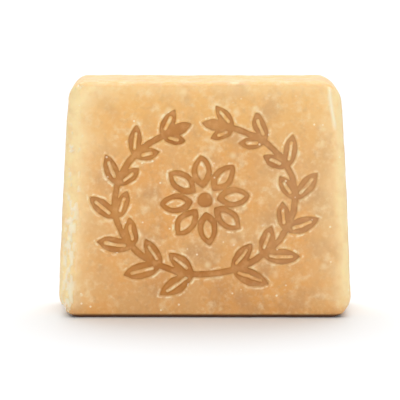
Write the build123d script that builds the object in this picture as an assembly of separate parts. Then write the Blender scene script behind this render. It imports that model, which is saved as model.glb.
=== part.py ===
from build123d import *
import os
from math import acos, atan, degrees, radians, sin

# A bar of handmade soap, cut from a loaf and pressed with a stamp while it was still soft.
# It is one solid piece that stands on its long, narrow bottom face.
# Units are millimetres. X runs across the width, Y through the thickness and Z up.
# The origin is the middle of the bottom face, and the stamped front face looks along -Y.

# The bar: the loaf's mould has leaning walls, so each slice is narrower at its top.
base_width = 80.0
top_width = 73.0
height = 64.0
thickness = 25.0
bottom_corner_radius = 6.0
top_left_corner_radius = 4.6
top_right_corner_radius = 5.8
edge_radius = 2.2

# The left front edge is worn to a wide bevel by handling.
worn_bevel_width = 6.0
worn_bevel_depth = 2.8

# The stamp's print: a leafy wreath, open at its top, round a flower.
stamp_depth = 0.9
stamp_tilt = 6.0
bevel_margin = 1.5
end_margin = 5.5
stem_width = 1.9
wreath_gap = 17.0

# The wreath's leaves stand in pairs, one outside the stem and one inside it.
leaf_pairs = 7
first_pair_at = 5.0
last_pair_before_end = 1.5
leaf_lean = 36.0
outer_leaf_length = 11.0
outer_leaf_width = 4.7
inner_leaf_length = 9.2
inner_leaf_width = 4.2
end_leaf_length = 7.5
end_leaf_width = 3.4
leaf_shrink = 0.04
leaf_tip_radius = 0.3

# A raised vein is left standing along the middle of each leaf's print.
vein_width = 0.7
vein_inset = 2.5

# The flower fills the room inside the wreath, up to a clearance from the inner leaves.
# Its petals are outlined, so each leaves an island of soap inside it. The shares are of the
# petal's length.
petals = 8
flower_clearance = 2.3
flower_eye_radius = 2.1
petal_start = 3.1
petal_width_share = 0.61
island_start_share = 0.25
island_length_share = 0.56
island_width_share = 0.24


def bar_body():
    """The plain slice: a trapezoid with rounded corners, its front and back edges worn round."""
    half_base = base_width / 2
    half_top = top_width / 2
    front = Plane.XZ.offset(thickness / 2)
    outline = Polygon(
        (-half_base, 0), (half_base, 0), (half_top, height), (-half_top, height), align=None
    )
    bottom_corners = outline.vertices().filter_by(lambda v: v.Y < height / 2)
    top_corners = outline.vertices().filter_by(lambda v: v.Y > height / 2).sort_by(Axis.X)
    top_left, top_right = top_corners[0], top_corners[1]
    outline = fillet(bottom_corners, bottom_corner_radius)
    outline = fillet(nearest(outline, top_left), top_left_corner_radius)
    outline = fillet(nearest(outline, top_right), top_right_corner_radius)
    body = extrude(front * outline, amount=-thickness)
    faces = body.faces().sort_by(Axis.Y)
    return fillet(faces[0].edges() + faces[-1].edges(), edge_radius)


def worn_bevel():
    """The wedge that wear has taken off the left front edge, which leans as that side does."""
    lean = degrees(atan((base_width - top_width) / 2 / height))
    wedge = Polygon(
        (-worn_bevel_width, -worn_bevel_depth),
        (worn_bevel_width, -worn_bevel_depth),
        (worn_bevel_width, 0),
        (-worn_bevel_width, 2 * worn_bevel_depth),
        align=None,
    )
    upright = extrude(Pos(0, 0, -height) * wedge, amount=3 * height)
    return Pos(-base_width / 2, -thickness / 2, 0) * Rot(0, lean, 0) * upright


def nearest(outline, corner):
    """The outline's own vertex at a corner that was picked before other corners were rounded."""
    return outline.vertices().sort_by_distance(corner)[0]


def leaf(length, width, tip_radius=leaf_tip_radius):
    """A pointed leaf along +X from the origin: two equal arcs that meet at blunted tips."""
    upper = ThreePointArc((0, 0), (length / 2, width / 2), (length, 0))
    lower = ThreePointArc((length, 0), (length / 2, -width / 2), (0, 0))
    shape = make_face([upper, lower])
    return fillet(shape.vertices(), tip_radius)


def veined_leaf(length, width):
    """A leaf's print with its raised vein left out of the cut."""
    vein = Pos(length / 2, 0) * SlotOverall(length - 2 * vein_inset, vein_width)
    return leaf(length, width) - vein


def wreath_radii():
    """The half axes of the stem's ellipse, which keep the leaf tips off the bevel and the ends."""
    leaf_reach = outer_leaf_length * sin(radians(leaf_lean))
    middle_width = (base_width + top_width) / 2
    half_width = middle_width / 2 - worn_bevel_width - bevel_margin - leaf_reach
    half_height = height / 2 - end_margin - leaf_reach
    return half_width, half_height


def wreath_stems(half_width, half_height):
    """An elliptical band of the stem's width, cut open at its top."""
    outside = Ellipse(half_width + stem_width / 2, half_height + stem_width / 2)
    inside = Ellipse(half_width - stem_width / 2, half_height - stem_width / 2)
    opening = Pos(0, half_height) * Rectangle(wreath_gap, half_height)
    return outside - inside - opening


def branch_leaves(half_width, half_height):
    """The leaves of the right branch, in pairs from the bottom to the leaf at its end."""
    end_angle = degrees(acos(wreath_gap / 2 / half_width))
    branch = EllipticalCenterArc(
        (0, 0), half_width, half_height, -90, arc_size=90 + end_angle
    )
    last_pair_at = branch.length - last_pair_before_end
    pitch = (last_pair_at - first_pair_at) / (leaf_pairs - 1)
    leaves = []
    for pair in range(leaf_pairs):
        place, heading = station(branch, first_pair_at + pair * pitch)
        size = 1 - leaf_shrink * pair
        outer = veined_leaf(outer_leaf_length * size, outer_leaf_width * size)
        inner = veined_leaf(inner_leaf_length * size, inner_leaf_width * size)
        leaves.append(place * Rot(0, 0, heading - leaf_lean) * outer)
        leaves.append(place * Rot(0, 0, heading + leaf_lean) * inner)
    place, heading = station(branch, branch.length)
    leaves.append(place * Rot(0, 0, heading) * leaf(end_leaf_length, end_leaf_width))
    return leaves


def station(branch, distance):
    """A place on the branch at a distance from its start, and the branch's heading there."""
    point = branch.position_at(distance, PositionMode.LENGTH)
    along = branch.tangent_at(distance, PositionMode.LENGTH)
    heading = degrees(acos(max(-1.0, min(1.0, along.X))))
    if along.Y < 0:
        heading = -heading
    return Pos(point.X, point.Y), heading


def flower(half_height):
    """A round eye with outlined petals about it, inside a wreath of that half height."""
    inner_leaf_reach = inner_leaf_length * sin(radians(leaf_lean))
    length = half_height - inner_leaf_reach - flower_clearance - petal_start
    petal = Pos(petal_start, 0) * leaf(length, petal_width_share * length)
    island = leaf(island_length_share * length, island_width_share * length)
    outlined = petal - Pos(petal_start + island_start_share * length, 0) * island
    parts = [Circle(flower_eye_radius)]
    for number in range(petals):
        parts.append(Rot(0, 0, 90 + number * 360 / petals) * outlined)
    return parts


def stamp_print():
    """The whole print as one flat sketch, centred on the origin."""
    half_width, half_height = wreath_radii()
    right = branch_leaves(half_width, half_height)
    left = [mirror(shape, Plane.YZ) for shape in right]
    sketch = wreath_stems(half_width, half_height)
    for shape in right + left + flower(half_height):
        sketch = sketch + shape
    return Rot(0, 0, stamp_tilt) * sketch


def soap_bar():
    """The bar with the stamp pressed into its front face."""
    face = Plane(
        origin=(0, -thickness / 2, height / 2), x_dir=(1, 0, 0), z_dir=(0, -1, 0)
    )
    recess = extrude(face * stamp_print(), amount=-stamp_depth)
    return bar_body() - worn_bevel() - recess


os.makedirs("parts", exist_ok=True)
bar = soap_bar()
bar.label = "soap_bar"
export_step(bar, "parts/soap_bar.step")
print("soap_bar", "volume mm3", round(bar.volume), "size", bar.bounding_box().size)
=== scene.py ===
import bpy
import math
import numpy as np
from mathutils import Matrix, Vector


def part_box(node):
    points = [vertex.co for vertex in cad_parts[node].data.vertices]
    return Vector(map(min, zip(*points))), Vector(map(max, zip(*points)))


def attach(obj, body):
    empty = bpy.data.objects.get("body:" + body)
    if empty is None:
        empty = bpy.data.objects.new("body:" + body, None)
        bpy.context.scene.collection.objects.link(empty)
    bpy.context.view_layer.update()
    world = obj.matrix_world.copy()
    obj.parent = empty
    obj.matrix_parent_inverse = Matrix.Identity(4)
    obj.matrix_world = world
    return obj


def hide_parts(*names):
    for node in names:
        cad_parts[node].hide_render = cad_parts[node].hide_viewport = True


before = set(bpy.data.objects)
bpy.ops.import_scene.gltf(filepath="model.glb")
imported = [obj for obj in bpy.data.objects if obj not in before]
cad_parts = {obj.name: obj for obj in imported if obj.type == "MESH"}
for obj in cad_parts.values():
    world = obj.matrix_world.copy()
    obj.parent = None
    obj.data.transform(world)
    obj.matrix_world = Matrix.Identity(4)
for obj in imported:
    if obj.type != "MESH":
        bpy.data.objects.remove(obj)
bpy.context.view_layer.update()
barLow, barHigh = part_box("soap_bar")

mm = 0.001  # shapes are worked out in millimetres and put in as metres

# what a user would change on the bar's shape, in mm
bar = dict(
    size=(barHigh - barLow) / mm,           # of the CAD piece that this one replaces
    room=0.3,                               # kept free in height and thickness, for the wear to rise into
    footWidth=80.0, topWidth=73.0,          # the mould's, before the corners are rounded
    belly=0.35,                             # how far both sides stand out at half height
    cornerLeft=(6.0, 4.6),                  # outline's corner radii, foot and top
    cornerRight=(6.0, 5.8),
    leftEdge=(6.0, 3.0),                    # how far each worn edge reaches in, and back
    rightEdge=(3.4, 3.0),
    topEdge=(2.6, 2.6),
    footEdge=(1.3, 1.2),
    backEdge=(2.0, 2.0),
    edgeBlend=1.2,                          # the smaller, the harder the change from edge to edge
    edgeWaves=((0.16, 9, 31), (0.08, 3, 32)),  # shares of an edge's reach, as in waves
    backEdgeWaves=((0.2, 7, 41),),
    shiftFade=12.0,                         # how far in the front's quads are drawn off its border
    across=264, up=212,                     # quads on the front
    foldRings=8, sideRings=28, backRings=4,
)
bar["width"] = bar["size"].x
bar["height"] = bar["size"].z - bar["room"]
bar["thickness"] = bar["size"].y - bar["room"]
bar["topShare"] = bar["topWidth"] / bar["footWidth"]

# the stamp's print, in mm, as in the CAD, but for a depth that imprint's share takes down again
stamp = dict(
    depth=0.95, tilt=6.0, stem=1.9, gap=17.0,
    bevel=6.0, bevelMargin=1.5, endMargin=5.5,  # what the leaf tips keep clear of
    pairs=7, firstPair=5.0, lastPair=1.5, lean=36.0, shrink=0.04,
    outerLeaf=(11.0, 4.7), innerLeaf=(9.2, 4.2), endLeaf=(7.5, 3.4),  # length and width
    vein=0.7, veinInset=2.5,
    petals=8, eye=2.1, petalStart=3.1, flowerClearance=2.3,
    petalShare=0.61,                        # a petal's width over its length
    islandStartShare=0.25, islandLengthShare=0.56, islandWidthShare=0.24,  # of the petal's length
    curveSteps=2000,
)

# how soft soap took the stamp, in mm: the wall's top and foot and the lip's middle are distances off
# the print's edge
imprint = dict(
    wobbleX=((0.17, 2.4, 11), (0.085, 0.9, 12)),
    wobbleZ=((0.17, 2.4, 13), (0.085, 0.9, 14)),
    wallTop=0.05, wallFoot=-0.27,
    snapWithin=0.16, snapReach=0.13, slopeStep=0.03, flattest=0.3,
    depthShare=0.88, depthWaves=((0.16, 13, 15),), shallowerRight=0.1,
    lipHeight=0.1, lipAt=0.38, lipWidth=0.26, lipShare=0.65, lipWaves=((0.6, 3, 16),), lipMost=1.3,
    farField=2.0,                           # the distance written where there is no print
)


def smoothStep(low, high, x):
    # 0 below low, 1 above high, and 3t^2 - 2t^3 in between
    t = np.clip((x - low) / (high - low), 0, 1)
    return t * t * (3 - 2 * t)


def hashed(cell, seed):
    # an even random value from 0 to 1 for each whole-numbered cell: its numbers are each multiplied by
    # a large prime and mixed by shifts
    n = cell[..., 0] * 73856093 ^ cell[..., 1] * 19349663 ^ cell[..., 2] * 83492791 ^ seed * 49979687
    n = (n ^ (n >> 15)) * 2246822519 & 0xFFFFFFFF
    n = (n ^ (n >> 13)) * 3266489917 & 0xFFFFFFFF
    return ((n ^ (n >> 16)) & 0xFFFFFF) / 0xFFFFFF


def noise(points, size, seed):
    # random values on a lattice of that spacing, blended along each axis by 6t^5 - 15t^4 + 10t^3
    cells = points / size
    cell = np.floor(cells).astype(np.int64)
    t = cells - cell
    t = t * t * t * (t * (t * 6 - 15) + 10)
    total = np.zeros(len(points))
    for corner in np.ndindex(2, 2, 2):
        share = np.prod(np.where(np.array(corner) == 1, t, 1 - t), axis=1)
        total += share * hashed(cell + np.array(corner), seed)
    return total * 2 - 1


def waves(points, parts):
    # the sum of height * noise, for parts that are each a height, a size and a seed
    total = np.zeros(len(points))
    for height, size, seed in parts:
        total += height * noise(points, size, seed)
    return total


def layered(points, size, seed, layers=3):
    # noise added to itself at half the size and half the height, once for each layer
    return waves(points, [(1 / 2 ** k, size / 2 ** k, seed + k) for k in range(layers)])


def spots(points, size, seed, chance, radius):
    # one random dot in some of the lattice's cells: 1 at a dot's middle, falling to 0 at a reach of
    # half to one and a half times the radius
    cell = np.floor(points / size).astype(np.int64)
    best = np.zeros(len(points))
    for step in np.ndindex(3, 3, 3):
        near = cell + np.array(step) - 1
        middle = np.stack([hashed(near, seed + k) for k in range(3)], axis=1)
        reach = radius * (0.5 + hashed(near, seed + 3))
        away = np.linalg.norm(points - (near + middle) * size, axis=1)
        kept = hashed(near, seed + 4) < chance
        best = np.maximum(best, np.where(kept, 1 - smoothStep(0, 1, away / reach), 0))
    return best


def leafField(x, y, length, width):
    # signed distance to two equal arcs that meet at (0, 0) and (length, 0): the farther of both circles
    half, rise = length / 2, width / 2
    radius = (half * half + rise * rise) / (2 * rise)
    return np.hypot(x - half, np.abs(y) + radius - rise) - radius


def veinedField(x, y, length, width):
    # a leaf less a raised vein along its middle
    inset = stamp["veinInset"]
    run = np.clip(x, inset, length - inset)
    vein = np.hypot(x - run, y) - stamp["vein"] / 2
    return np.maximum(leafField(x, y, length, width), -vein)


def turned(x, y, originX, originY, heading):
    # the same places, seen from an origin that looks along the heading
    c, s = math.cos(heading), math.sin(heading)
    return (x - originX) * c + (y - originY) * s, -(x - originX) * s + (y - originY) * c


def leafReach(leaf):
    # how far a leaf that leans off the stem reaches from it: length * sin(lean)
    return leaf[0] * math.sin(math.radians(stamp["lean"]))


def fittedSizes():
    # the stem's ellipse keeps the leaf tips off the bevel and the ends, and the petals fill the room
    # inside the wreath, all to a hundredth of a millimetre
    centre, reach = bar["size"].z / 2, leafReach(stamp["outerLeaf"])
    middle = (bar["footWidth"] + bar["topWidth"]) / 2
    halfHeight = centre - stamp["endMargin"] - reach
    petal = halfHeight - leafReach(stamp["innerLeaf"]) - stamp["flowerClearance"] - stamp["petalStart"]
    sizes = dict(
        centre=centre, halfHeight=halfHeight,
        halfWidth=middle / 2 - stamp["bevel"] - stamp["bevelMargin"] - reach,
        petalLength=petal, petalWidth=petal * stamp["petalShare"],
        islandStart=petal * stamp["islandStartShare"],
        islandLength=petal * stamp["islandLengthShare"], islandWidth=petal * stamp["islandWidthShare"])
    return {name: round(size, 2) for name, size in sizes.items()}


stamp.update(fittedSizes())


def branchStations(a, b):
    # places and headings along the right half of the stem's ellipse, by length from its foot
    angle = np.linspace(-math.pi / 2, math.acos(stamp["gap"] / 2 / a), stamp["curveSteps"])
    x, y = a * np.cos(angle), b * np.sin(angle)
    length = np.concatenate([[0], np.cumsum(np.hypot(np.diff(x), np.diff(y)))])
    last = length[-1] - stamp["lastPair"]
    at = np.append(np.linspace(stamp["firstPair"], last, stamp["pairs"]), length[-1])
    heading = np.arctan2(b * np.cos(angle), -a * np.sin(angle))
    return np.stack([np.interp(at, length, known) for known in (x, y, heading)], axis=1)


def stemField(x, z, a, b):
    # how far off the ellipse, from its equation over its slope, less half the stem, open at the top
    radial = np.hypot(x / a, z / b)
    slope = np.hypot(x / a ** 2, z / b ** 2) / np.maximum(radial, 0.01)
    field = np.abs(radial - 1) / np.maximum(slope, 0.001) - stamp["stem"] / 2
    opening = np.maximum(np.abs(x) - stamp["gap"] / 2, b / 2 - z)
    return np.maximum(field, -opening)


def branchField(x, z, stations):
    # the nearest of one branch's leaves: a pair at each station, and one more at the branch's end
    lean = math.radians(stamp["lean"])
    field = np.full(len(x), np.inf)
    for number, (px, py, heading) in enumerate(stations[:-1]):
        size = 1 - stamp["shrink"] * number
        for leaf, turn in ((stamp["outerLeaf"], -lean), (stamp["innerLeaf"], lean)):
            u, v = turned(x, z, px, py, heading + turn)
            field = np.minimum(field, veinedField(u, v, leaf[0] * size, leaf[1] * size))
    u, v = turned(x, z, *stations[-1])
    return np.minimum(field, leafField(u, v, *stamp["endLeaf"]))


def flowerField(x, z):
    # a round eye with petals about it, each a leaf less an island
    field = np.hypot(x, z) - stamp["eye"]
    for number in range(stamp["petals"]):
        u, v = turned(x, z, 0, 0, math.pi / 2 + number * 2 * math.pi / stamp["petals"])
        u = u - stamp["petalStart"]
        petal = leafField(u, v, stamp["petalLength"], stamp["petalWidth"])
        island = leafField(u - stamp["islandStart"], v, stamp["islandLength"], stamp["islandWidth"])
        field = np.minimum(field, np.maximum(petal, -island))
    return field


def printField(x, z):
    # signed distance in mm to the print's edge, below 0 where the stamp pressed: the nearest of its parts
    x, z = turned(x, z, 0, stamp["centre"], math.radians(stamp["tilt"]))
    a, b = stamp["halfWidth"], stamp["halfHeight"]
    stations = branchStations(a, b)
    field = np.minimum(stemField(x, z, a, b), flowerField(x, z))
    for side in (1, -1):
        field = np.minimum(field, branchField(x * side, z, stations))
    return field


def sideWeights(x, z):
    # how much the left, right, top and foot edges each say about a place: 1 / (distance + blend)^3
    half = bar["width"] / 2
    away = np.stack([x + half, half - x, bar["height"] - z, z], axis=1)
    weight = 1 / (np.maximum(away, 0) + bar["edgeBlend"]) ** 3
    return weight / weight.sum(axis=1, keepdims=True)


def edgeReach(x, z):
    # how far the front edge's rounding reaches in and back there, uneven as handling wears it
    sides = np.array([bar["leftEdge"], bar["rightEdge"], bar["topEdge"], bar["footEdge"]])
    uneven = 1 + waves(np.stack([x, z, z * 0], axis=1), bar["edgeWaves"])
    return sideWeights(x, z) @ sides * uneven[:, None]


def backReach(x, z):
    # the same for the back edge, which is alike all round
    uneven = 1 + waves(np.stack([x, z, z * 0], axis=1), bar["backEdgeWaves"])
    return np.array(bar["backEdge"]) * uneven[:, None]


def fromBorder(x, z):
    # how far inside the rectangle a place is
    return np.minimum(np.minimum(bar["width"] / 2 - np.abs(x), z), bar["height"] - z)


def outlinePlace(x, z, inset):
    # a place of the rectangle's ring, moved to the leaning, round-cornered ring at that inset
    half, height = bar["width"] / 2, bar["height"]
    now = fromBorder(x, z)
    x = x * (half - inset) / np.maximum(half - now, 0.001)
    z = height / 2 + (z - height / 2) * (height / 2 - inset) / np.maximum(height / 2 - now, 0.001)
    foot = z < height / 2
    corner = np.where(x < 0, np.where(foot, *bar["cornerLeft"]), np.where(foot, *bar["cornerRight"]))
    # a square corner becomes round: out * max(|outX|, |outZ|) / its length
    middleX = np.clip(x, corner - half, half - corner)
    middleZ = np.clip(z, corner, height - corner)
    outX, outZ = x - middleX, z - middleZ
    squeeze = np.maximum(np.abs(outX), np.abs(outZ)) / np.maximum(np.hypot(outX, outZ), 1e-6)
    x, z = middleX + outX * squeeze, middleZ + outZ * squeeze
    # the draft, and the belly as a parabola 4t(1 - t)
    up = z / height
    lean = 1 - (1 - bar["topShare"]) * up + bar["belly"] / half * 4 * up * (1 - up)
    return x * lean, z


def faceGrid(across, up):
    # a flat grid over the rectangle, foot to top in rows
    half = bar["width"] / 2
    x, z = np.meshgrid(np.linspace(-half, half, across + 1), np.linspace(0, bar["height"], up + 1))
    return x.ravel(), z.ravel()


def bulge(reach, inset):
    # how far back an elliptic edge has gone at that inset: back * (1 - sqrt(1 - ((in - inset) / in)^2))
    t = np.clip(1 - inset / reach[:, 0], 0, 1)
    return reach[:, 1] * (1 - np.sqrt(1 - t * t))


def facePlaces(x, z, reach):
    # a face whose border stands halfway round its worn edge
    now = fromBorder(x, z)
    inset = now + (1 - math.sqrt(0.5)) * reach[:, 0] * (1 - smoothStep(0, bar["shiftFade"], now))
    placeX, placeZ = outlinePlace(x, z, inset)
    return placeX, placeZ, bulge(reach, inset)


def borderIndices(across, up):
    # the grid's border, once round: along the foot, up the right, back along the top, down the left
    row = across + 1
    foot = np.arange(0, across)
    right = across + row * np.arange(0, up)
    top = row * up + np.arange(across, 0, -1)
    left = row * np.arange(up, 0, -1)
    return np.concatenate([foot, right, top, left])


def gridQuads(across, up, flip):
    # the grid's quads, facing the front, or the back if flipped
    i, j = np.meshgrid(np.arange(across), np.arange(up))
    a = (j * (across + 1) + i).ravel()
    quads = np.stack([a, a + 1, a + across + 2, a + across + 1], axis=1)
    return quads[:, ::-1] if flip else quads


def ringQuads(front, back):
    # the quads between two rings of as many places
    return np.stack([front, back, np.roll(back, -1), np.roll(front, -1)], axis=1)


def halvingTriangles(fine, coarse):
    # the triangles from a ring to one of half as many places
    a, b, c = fine[::2], fine[1::2], np.roll(fine[::2], -1)
    d, e = coarse, np.roll(coarse, -1)
    return np.concatenate([np.stack(t, axis=1) for t in ((a, d, b), (b, d, e), (b, e, c))])


def barMesh():
    # the closed bar: a fine front, rings round the side that halve behind the edge, and a coarse back
    across, up = bar["across"], bar["up"]
    halfThickness = bar["thickness"] / 2
    x, z = faceGrid(across, up)
    reach = edgeReach(x, z)
    frontX, frontZ, gone = facePlaces(x, z, reach)
    places = [np.stack([frontX, gone - halfThickness, frontZ], axis=1)]
    quads = [gridQuads(across, up, False)]
    ring = borderIndices(across, up)
    count = len(x)
    ringX, ringZ, ringReach = x[ring], z[ring], reach[ring]
    # round the front edge by angle: in * (1 - sin), and back * (1 - cos)
    for turn in np.linspace(math.pi / 4, math.pi / 2, bar["foldRings"] + 1)[1:]:
        y = ringReach[:, 1] * (1 - math.cos(turn)) - halfThickness
        px, pz = outlinePlace(ringX, ringZ, ringReach[:, 0] * (1 - math.sin(turn)))
        places.append(np.stack([px, y, pz], axis=1))
        new = count + np.arange(len(ringX))
        quads.append(ringQuads(ring, new))
        ring, count = new, count + len(new)
    # along the side, where every other place goes on
    ringX, ringZ, start = ringX[::2], ringZ[::2], y[::2]
    ringReach = backReach(ringX, ringZ)
    end = halfThickness - ringReach[:, 1]
    px, pz = outlinePlace(ringX, ringZ, 0)
    triangles = None
    for share in np.linspace(0, 1, bar["sideRings"] + 1)[1:]:
        places.append(np.stack([px, start + (end - start) * share, pz], axis=1))
        new = count + np.arange(len(ringX))
        if triangles is None:
            triangles = halvingTriangles(ring, new)
        else:
            quads.append(ringQuads(ring, new))
        ring, count = new, count + len(new)
    # round the back edge, to the back's own grid, which closes the bar
    for turn in np.linspace(math.pi / 2, math.pi / 4, bar["backRings"] + 1)[1:-1]:
        y = halfThickness - ringReach[:, 1] * (1 - math.cos(turn))
        px, pz = outlinePlace(ringX, ringZ, ringReach[:, 0] * (1 - math.sin(turn)))
        places.append(np.stack([px, y, pz], axis=1))
        new = count + np.arange(len(ringX))
        quads.append(ringQuads(ring, new))
        ring, count = new, count + len(new)
    across, up = across // 2, up // 2
    x, z = faceGrid(across, up)
    backX, backZ, gone = facePlaces(x, z, backReach(x, z))
    places.append(np.stack([backX, halfThickness - gone, backZ], axis=1))
    quads.append(ringQuads(ring, count + borderIndices(across, up)))
    quads.append(gridQuads(across, up, True) + count)
    return np.concatenate(places), np.concatenate(quads), triangles


def placeNormals(places, quads, triangles):
    # each place's outward normal: the sum, over the faces round it, of two of the face's lines crossed
    total = np.zeros_like(places)
    lines = ((quads, (0, 2), (1, 3)), (triangles, (0, 1), (0, 2)))
    for faces, (a, b), (c, d) in lines:
        first = places[faces[:, b]] - places[faces[:, a]]
        second = places[faces[:, d]] - places[faces[:, c]]
        crossed = np.cross(first, second)
        for corner in faces.T:
            np.add.at(total, corner, crossed)
    return total / np.maximum(np.linalg.norm(total, axis=1, keepdims=True), 1e-9)


def wanderingField(places):
    # the print's field with an edge that wanders a little, as soft soap leaves it
    x = places[:, 0] + waves(places, imprint["wobbleX"])
    return printField(x, places[:, 2] + waves(places, imprint["wobbleZ"]))


def snapToPrint(places, count):
    # slides the front's first places onto the top or the foot of the print's wall where it is near
    # them, by gap * slope / slope^2, so the wall is crisp
    front = places[:count].copy()
    step, within, reach = imprint["slopeStep"], imprint["snapWithin"], imprint["snapReach"]
    for level in (imprint["wallTop"], imprint["wallFoot"]):
        field = wanderingField(front)
        slopeX = (wanderingField(front + [step, 0, 0]) - field) / step
        slopeZ = (wanderingField(front + [0, 0, step]) - field) / step
        steep = np.maximum(slopeX ** 2 + slopeZ ** 2, imprint["flattest"])
        gap = field - level
        near = np.abs(gap) < within
        front[:, 0] -= np.where(near, gap * slopeX / steep, 0)
        front[:, 2] -= np.where(near, gap * slopeZ / steep, 0)
    # held within part of the grid's step, so no quad folds over
    places[:count] += np.clip(front - places[:count], -reach, reach)
    return places


# wear, in mm
wear = dict(
    facing=(0.5, 0.8),                      # the normal's share along Y where front and back start
    waves=((0.16, 17, 1), (0.07, 6, 2), (0.06, 2.4, 3), (0.03, 1.0, 4)),
    pits=dict(size=3.2, seed=21, chance=0.18, radius=0.55), pitDepth=0.16,
    crumbs=dict(size=4.1, seed=25, chance=0.16, radius=0.42), crumbHeight=0.14,
    smoothedWaves=0.5, smoothedPits=0.8,    # the share of each that the stamp pressed flat
    dragWaves=((0.05, 1.1, 61),), dragTurn=((0.15, 0, 0.22), (0, 0, 0), (0.05, 0, 1.3)),
    sideWaves=((0.035, 1.0, 62),), sideStretch=(0.25, 1.8, 0.12),
    footShare=0.25, footFade=1.2,           # how little the foot wears, and up to where
    foot=0.02,                              # what lies below this stays on the ground
    clearance=0.01,                         # left inside the CAD's box
)

# torn flakes down the left edge
flakes = dict(
    depth=0.28, stretch=(1.6, 1.6, 0.55), size=1.2, seed=51, patches=((0.3, 7, 55),),
    edge=(0.16, 0.24),                      # the noise between which a flake starts and is full
    more=0.6, fewer=0.35, low=(22, 48),     # more of them low down
    near=(0.1, 1.0), far=(2.6, 5.0),        # the strip off the edge that they keep to
)

# a hard little ridge where the top right corner was pared
ridge = dict(at=33.2, bend=1.6, bendBelow=62, bendOver=13, halfWidth=0.5, height=0.34,
             foot=(50, 53), top=(61.5, 63))

# a painted glow: how pale the soap is painted for being near an edge that light shines through: each edge
# has a near glow's strength, reach and steepness, and a far glow's strength and reach
glow = dict(
    left=(1.15, 5.2, 1.6, 0.3, 9), right=(1.0, 3.4, 1.4, 0.3, 11), top=(0.4, 2.6, 1.4, 0.32, 9),
    waves=((0.3, 6, 71),), foot=(0.3, 5),
    topFace=(0.4, 0.9, 0.6), sideFace=(0.85, 1, 0.5),  # the normal's share, from and full, and the loss
)


def pressIn(places, front):
    # the stamp's print: the field, the share pressed, the depth there, and the lip pushed up round it
    field = wanderingField(places)
    top, foot = imprint["wallTop"], imprint["wallFoot"]
    pressed = np.clip((top - field) / (top - foot), 0, 1) * front
    depth = stamp["depth"] * (imprint["depthShare"] + waves(places, imprint["depthWaves"])
                              - imprint["shallowerRight"] * smoothStep(0, bar["width"] / 2, places[:, 0]))
    # a bell e^-((field - at) / width)^2, broken along its length
    broken = np.clip(imprint["lipShare"] + waves(places, imprint["lipWaves"]), 0, imprint["lipMost"])
    lip = np.exp(-((field - imprint["lipAt"]) / imprint["lipWidth"]) ** 2) * front * broken
    return field, pressed, depth, lip


def tornFlakes(places, fromLeft, back):
    # 1 in a flake: stretched noise over a level that drops towards the foot, in a strip by the edge
    torn = layered(places * flakes["stretch"], flakes["size"], flakes["seed"])
    torn = torn + waves(places, flakes["patches"])
    torn += flakes["more"] * (1 - smoothStep(*flakes["low"], places[:, 2])) - flakes["fewer"]
    strip = smoothStep(*flakes["near"], fromLeft) * (1 - smoothStep(*flakes["far"], fromLeft))
    return smoothStep(*flakes["edge"], torn) * strip * (1 - back) * (places[:, 1] < 0)


def paredRidge(places, front):
    # a bell across a line that bends outwards as it goes down
    x, z = places[:, 0], places[:, 2]
    line = ridge["at"] + ridge["bend"] * smoothStep(0, ridge["bendOver"], ridge["bendBelow"] - z)
    bell = np.exp(-((x - line) / ridge["halfWidth"]) ** 2)
    return bell * smoothStep(*ridge["foot"], z) * (1 - smoothStep(*ridge["top"], z)) * front


def dragLines(places, back, side):
    # faint slanting lines left by the wire on the back, and upright ones on the sides: stretched noise
    slanting = places @ np.array(wear["dragTurn"])
    upright = places * wear["sideStretch"]
    return waves(slanting, wear["dragWaves"]) * back + waves(upright, wear["sideWaves"]) * side


def paintedEdgeGlow(places, normals, away):
    # the painted glow of light through the edges: the sum over the edges of near * e^-(away / reach)^steep
    # + far * e^-(away / farReach), up to 1, less at the foot and on the top and side faces
    uneven = 1 + waves(places, glow["waves"])
    total = np.zeros(len(places))
    for name, distance in away.items():
        near, reach, steep, far, farReach = glow[name]
        distance = np.maximum(distance, 0)
        total += near * np.exp(-(distance / (reach * uneven)) ** steep) + far * np.exp(-distance / farReach)
    pale = np.clip(total, 0, 1) * smoothStep(*glow["foot"], places[:, 2])
    for along, (start, full, loss) in (
            (normals[:, 2], glow["topFace"]), (np.abs(normals[:, 0]), glow["sideFace"])):
        pale *= 1 - loss * smoothStep(start, full, along)
    return pale


def wearSurface(places, normals):
    # moves each place along its normal, and returns what the material needs to know about it
    x, z = places[:, 0], places[:, 2]
    front = smoothStep(*wear["facing"], -normals[:, 1])
    back = smoothStep(*wear["facing"], normals[:, 1])
    half = bar["width"] / 2 * (1 - (1 - bar["topShare"]) * z / bar["height"])
    away = dict(left=x + half, right=half - x, top=bar["height"] - z)
    field, pressed, depth, lip = pressIn(places, front)
    pits = spots(places, **wear["pits"]) * (1 - wear["smoothedPits"] * pressed)
    crumbs = spots(places, **wear["crumbs"]) * (1 - pressed)
    flake = tornFlakes(places, away["left"], back)
    pared = paredRidge(places, front)
    # soft unevenness of a slice that was cut and handled, less where the stamp pressed
    rise = waves(places, wear["waves"]) * (1 - wear["smoothedWaves"] * pressed) - depth * pressed
    rise += imprint["lipHeight"] * lip - wear["pitDepth"] * pits + wear["crumbHeight"] * crumbs
    rise += ridge["height"] * pared - flakes["depth"] * flake
    rise += dragLines(places, back, 1 - front - back)
    rise *= wear["footShare"] + (1 - wear["footShare"]) * smoothStep(0, wear["footFade"], z)
    moved = places + normals * rise[:, None]
    gap = wear["clearance"]
    moved = np.clip(moved, np.array(barLow) / mm + gap, np.array(barHigh) / mm - gap)
    moved[:, 2] = np.where(z < wear["foot"], 0, moved[:, 2])
    far = imprint["farField"]
    return moved, dict(
        printField=np.where(front > 0.5, np.clip(field, -far, far), far), lip=lip,
        pale=paintedEdgeGlow(places, normals, away), flake=flake, crumb=np.maximum(crumbs, pared))


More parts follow.
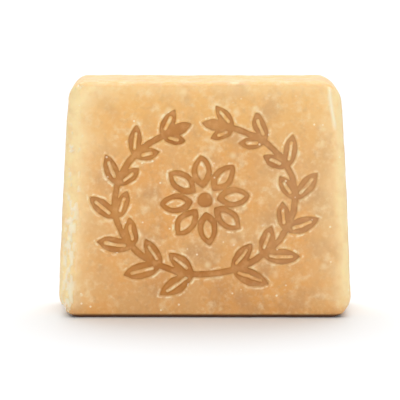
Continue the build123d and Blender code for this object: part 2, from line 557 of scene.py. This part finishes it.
def putMesh(name, places, quads, triangles, marks):
    mesh = bpy.data.meshes.new(name)
    mesh.from_pydata((places * mm).tolist(), [], quads.tolist() + triangles.tolist())
    mesh.shade_smooth()
    for mark, values in marks.items():
        layer = mesh.attributes.new(mark, "FLOAT", "POINT")
        layer.data.foreach_set("value", np.ascontiguousarray(values, dtype=np.float32))
    mesh.update()
    mesh.validate()
    made = bpy.data.objects.new(name, mesh)
    bpy.context.scene.collection.objects.link(made)
    return made


def linear(hexColour):
    # an sRGB hex colour as linear RGBA
    parts = [int(hexColour[k:k + 2], 16) / 255 for k in (1, 3, 5)]
    return [c / 12.92 if c <= 0.04045 else ((c + 0.055) / 1.055) ** 2.4 for c in parts] + [1.0]


def addNode(tree, kind, inputs=None, **settings):
    # adds a node, sets it, and gives each input a value or a link from another node's output
    node = tree.nodes.new(kind)
    for key, value in settings.items():
        setattr(node, key, value)
    for key, value in (inputs or {}).items():
        if isinstance(value, bpy.types.NodeSocket):
            tree.links.new(value, node.inputs[key])
        else:
            node.inputs[key].default_value = value
    return node


# colours of the soap, and of light and shade painted on it: the pale edge colour is a painted glow, the
# top's yellow painted light, the near-white lip, flake and speck colours painted highlights, and the dark
# foot colour a painted shadow
tint = dict(
    tan="#E2AC6A", warm="#E8A757", paintedTopLight="#F1B55B", dusk="#C8935F", bloom="#F6DCAA",
    edge="#FFE2AA", floorDeep="#BC7A2C", floorPale="#CC8D40",
    lip="#FFE9BE", flake="#FFF0D4", paintedGlint="#FFEDCB", foot="#4E2203",
)

# how they are laid on: a cloud is its size in mm, its detail, the noise where it starts and is full,
# and its roughness, and dots are their spacing and radius in mm, their chance and their softness
laid = dict(
    warmClouds=(14, 2, 0.35, 0.65),
    # painted light, lighter and yellower towards the top:
    paintedTopLight=(38, 62, 0.75),                   # from and to a height in mm, and the share there
    clouds=(
        ((9, 3, 0.45, 0.72), 0.6, "dusk"),
        ((3.4, 4, 0.5, 0.74, 0.6), 0.62, "bloom"),
        ((1.1, 3, 0.45, 0.8, 0.6), 0.3, "bloom"),
        ((1.6, 3, 0.5, 0.75, 0.6), 0.35, "dusk"),
    ),
    bloomDots=((6, 1.5, 0.4, 0.9), 0.65),
    paleClouds=(3, 4, 0.2, 0.7), palest=0.72,
    floorClouds=(11, 2, 0.35, 0.68),
    floorDusk=(-6, 30, 0.55),               # from and to a place across in mm, and the share there
    floorTan=((2.2, 3, 0.45, 0.75), 0.5), floorPale=0.45,
    wall=(0.02, -0.2),                      # the field where the floor's colour starts and is full
    lipClouds=(1.8, 3, 0.4, 0.62),
    # painted glints, as near-white dots
    paintedGlintDots=((2.4, 0.42, 0.16, 0.7), 0.9),
    # the shares of painted highlight on crumbs and the pared ridge, and of painted glint on the torn flakes
    crumb=0.9, flake=0.85,
    # a painted contact shadow, dark along the foot:
    foot=(1.35, 0.6, 0.93),                 # from and down to a height in mm, and the share there
)

finish = dict(
    roughness=(0.34, 0.54), roughClouds=(2.5, 3, 0.3, 0.7),
    wet=(0.2, 0.8, 1, 0.45),                # where flakes start and are full, and roughness's share at each
    ior=1.46, specular=0.5, seeThrough=0.35, seeThroughDepth=1.8, seeThroughTint=(1.0, 0.6, 0.35),
    grain=0.7, grainDetail=4, grainRoughness=0.6, grainStrength=0.8, grainDepth=0.2,
)


def castSoap():
    # honey soap, poured, cut and stamped: a satin, slightly see-through body, cloudy with pale blooms, and
    # darker where it's pressed; painted yellower and paler towards the top and where light shines through
    # its edges, with painted highlights on the lip, specks, crumbs, ridge and flakes and a painted shadow
    # along the foot
    material = bpy.data.materials.new("castSoap")
    material.use_nodes = True
    tree = material.node_tree
    tree.nodes.clear()
    place = addNode(tree, "ShaderNodeTexCoord").outputs["Object"]
    axes = addNode(tree, "ShaderNodeSeparateXYZ", {0: place})
    across, height = axes.outputs[0], axes.outputs[2]

    def times(a, b):
        return addNode(tree, "ShaderNodeMath", {0: a, 1: b}, operation="MULTIPLY").outputs[0]

    def mixed(factor, under, over):
        # under and over are a colour's name in tint, or a socket
        under, over = [linear(tint[c]) if isinstance(c, str) else c for c in (under, over)]
        node = addNode(tree, "ShaderNodeMix", {0: factor, 6: under, 7: over}, data_type="RGBA")
        return node.outputs[2]

    def ramped(value, low, high, toLow=0.0, toHigh=1.0):
        limits = {"Value": value, "From Min": low, "From Max": high, "To Min": toLow, "To Max": toHigh}
        return addNode(tree, "ShaderNodeMapRange", limits, interpolation_type="SMOOTHSTEP").outputs[0]

    def grained(sizeMm, detail, roughness):
        return addNode(tree, "ShaderNodeTexNoise", {
            "Vector": place, "Scale": 1 / (sizeMm * mm), "Detail": detail,
            "Roughness": roughness}).outputs["Fac"]

    def cloud(sizeMm, detail, low, high, roughness=0.5):
        return ramped(grained(sizeMm, detail, roughness), low, high)

    def dots(cellMm, radiusMm, chance, soft):
        cells = addNode(tree, "ShaderNodeTexVoronoi", {"Vector": place, "Scale": 1 / (cellMm * mm)})
        reach = radiusMm / cellMm
        near = ramped(cells.outputs["Distance"], reach, reach * (1 - soft))
        pick = addNode(tree, "ShaderNodeSeparateColor", {0: cells.outputs["Color"]})
        kept = addNode(tree, "ShaderNodeMath", {0: pick.outputs[0], 1: chance}, operation="LESS_THAN")
        return times(near, kept.outputs[0])

    def rampedBy(axis, start, full, share):
        return ramped(axis, start * mm, full * mm, 0, share)

    def mark(name):
        return addNode(tree, "ShaderNodeAttribute", attribute_name=name).outputs["Fac"]

    # the body
    colour = mixed(cloud(*laid["warmClouds"]), "tan", "warm")
    # painted light: lighter and yellower towards the top
    colour = mixed(rampedBy(height, *laid["paintedTopLight"]), colour, "paintedTopLight")
    for shape, share, name in laid["clouds"]:
        colour = mixed(times(cloud(*shape), share), colour, name)
    shape, share = laid["bloomDots"]
    colour = mixed(times(dots(*shape), share), colour, "bloom")
    # a painted glow of light shining through the edges
    pale = times(mark("pale"), ramped(cloud(*laid["paleClouds"]), 0, 1, laid["palest"], 1.0))
    colour = mixed(pale, colour, "edge")
    # the print's floor
    floor = mixed(cloud(*laid["floorClouds"]), "floorDeep", "floorPale")
    floor = mixed(rampedBy(across, *laid["floorDusk"]), floor, "dusk")
    shape, share = laid["floorTan"]
    floor = mixed(times(cloud(*shape), share), floor, "tan")
    # the painted edge glow on the print's floor as well
    floor = mixed(times(pale, laid["floorPale"]), floor, "edge")
    colour = mixed(ramped(mark("printField"), *laid["wall"]), colour, floor)
    # painted light and shade: highlights on the lip, specks, crumbs and pared ridge, the torn flakes
    # near-white as glints, and a contact shadow as the dark line at the foot
    colour = mixed(times(mark("lip"), cloud(*laid["lipClouds"])), colour, "lip")
    shape, share = laid["paintedGlintDots"]
    colour = mixed(times(dots(*shape), share), colour, "paintedGlint")
    colour = mixed(times(mark("crumb"), laid["crumb"]), colour, "paintedGlint")
    colour = mixed(times(mark("flake"), laid["flake"]), colour, "flake")
    colour = mixed(rampedBy(height, *laid["foot"]), colour, "foot")

    wet = addNode(tree, "ShaderNodeMath", {0: mark("flake"), 1: mark("crumb")}, operation="MAXIMUM")
    gloss = times(ramped(cloud(*finish["roughClouds"]), 0, 1, *finish["roughness"]),
                  ramped(wet.outputs[0], *finish["wet"]))
    grain = grained(finish["grain"], finish["grainDetail"], finish["grainRoughness"])
    bump = addNode(tree, "ShaderNodeBump", {
        "Height": grain, "Strength": finish["grainStrength"], "Distance": finish["grainDepth"] * mm})
    shader = addNode(tree, "ShaderNodeBsdfPrincipled", {
        "Base Color": colour, "Roughness": gloss, "IOR": finish["ior"], "Normal": bump.outputs[0],
        "Subsurface Weight": finish["seeThrough"], "Subsurface Radius": finish["seeThroughTint"],
        "Subsurface Scale": finish["seeThroughDepth"] * mm, "Specular IOR Level": finish["specular"]})
    addNode(tree, "ShaderNodeOutputMaterial", {"Surface": shader.outputs[0]})
    return material


print("soap: shape")
places, quads, triangles = barMesh()
places = snapToPrint(places, (bar["across"] + 1) * (bar["up"] + 1))
print("soap: wear")
places, marks = wearSurface(places, placeNormals(places, quads, triangles))
print("soap: places", len(places), "triangles", 2 * len(quads) + len(triangles))
soapBar = putMesh("soap_bar_surface", places, quads, triangles, marks)
soapBar.data.materials.append(castSoap())
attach(soapBar, "root")
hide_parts("soap_bar")

studio = dict(
    floorSize=6.0, floorColour="#F6F8FA",   # the floor's size in metres
    sky=0.4,                                # how strongly the white room lights things
    # each lamp's strength over pi, angle across, and turn from straight down
    lamps=dict(overhead=(0.7, 62, (-24, 0, 0)), frontFill=(0.29, 60, (62, 0, 8))),
    lens=200, sensor=36, clipNear=0.05,
    distance=0.608, aim=(-1.3, 0.0, 30.4),  # in metres, from a point in mm
    azimuth=0.0, elevation=8.0,
)


def studioPaper():
    # matt white paper
    material = bpy.data.materials.new("studioPaper")
    material.use_nodes = True
    tree = material.node_tree
    tree.nodes.clear()
    matt = addNode(tree, "ShaderNodeBsdfDiffuse", {"Color": linear(studio["floorColour"])})
    addNode(tree, "ShaderNodeOutputMaterial", {"Surface": matt.outputs[0]})
    return material


def makeFloor():
    reach = studio["floorSize"] / 2
    mesh = bpy.data.meshes.new("studio_floor")
    corners = [(-reach, -reach, 0), (reach, -reach, 0), (reach, reach, 0), (-reach, reach, 0)]
    mesh.from_pydata(corners, [], [(0, 1, 2, 3)])
    made = bpy.data.objects.new("studio_floor", mesh)
    bpy.context.scene.collection.objects.link(made)
    made.data.materials.append(studioPaper())


def makeWorld():
    # an even white room, at full white where the camera or a reflection looks past the floor
    world = bpy.data.worlds.new("studio")
    world.use_nodes = True
    tree = world.node_tree
    tree.nodes.clear()
    path = addNode(tree, "ShaderNodeLightPath")
    seen = path.outputs["Is Camera Ray"]
    for ray in ("Is Glossy Ray", "Is Transmission Ray"):
        both = addNode(tree, "ShaderNodeMath", {0: seen, 1: path.outputs[ray]}, operation="MAXIMUM")
        seen = both.outputs[0]
    strength = addNode(tree, "ShaderNodeMapRange", {
        "Value": seen, "To Min": studio["sky"], "To Max": 1.0})
    light = addNode(tree, "ShaderNodeBackground", {
        "Color": (1, 1, 1, 1), "Strength": strength.outputs[0]})
    addNode(tree, "ShaderNodeOutputWorld", {"Surface": light.outputs[0]})
    bpy.context.scene.world = world


def makeLamps():
    # a wide soft lamp overhead and a little behind, and a weak one from the front
    for name, (level, across, turn) in studio["lamps"].items():
        lamp = bpy.data.lights.new(name, "SUN")
        lamp.energy = level * math.pi
        lamp.angle = math.radians(across)
        made = bpy.data.objects.new(name, lamp)
        made.rotation_euler = [math.radians(a) for a in turn]
        bpy.context.scene.collection.objects.link(made)


def makeCamera():
    # looks at the aim from the front, a little above
    data = bpy.data.cameras.new("camera")
    data.lens = studio["lens"]
    data.sensor_width = studio["sensor"]
    data.clip_start = studio["clipNear"]
    camera = bpy.data.objects.new("camera", data)
    a, e = math.radians(studio["azimuth"]), math.radians(studio["elevation"])
    back = Vector((math.sin(a) * math.cos(e), -math.cos(a) * math.cos(e), math.sin(e)))
    camera.location = Vector(studio["aim"]) * mm + back * studio["distance"]
    camera.rotation_euler = (-back).to_track_quat("-Z", "Y").to_euler()
    bpy.context.scene.collection.objects.link(camera)
    bpy.context.scene.camera = camera


print("floor, lamps and camera")
makeFloor()
makeWorld()
makeLamps()
makeCamera()
bpy.context.scene.view_settings.view_transform = "Standard"
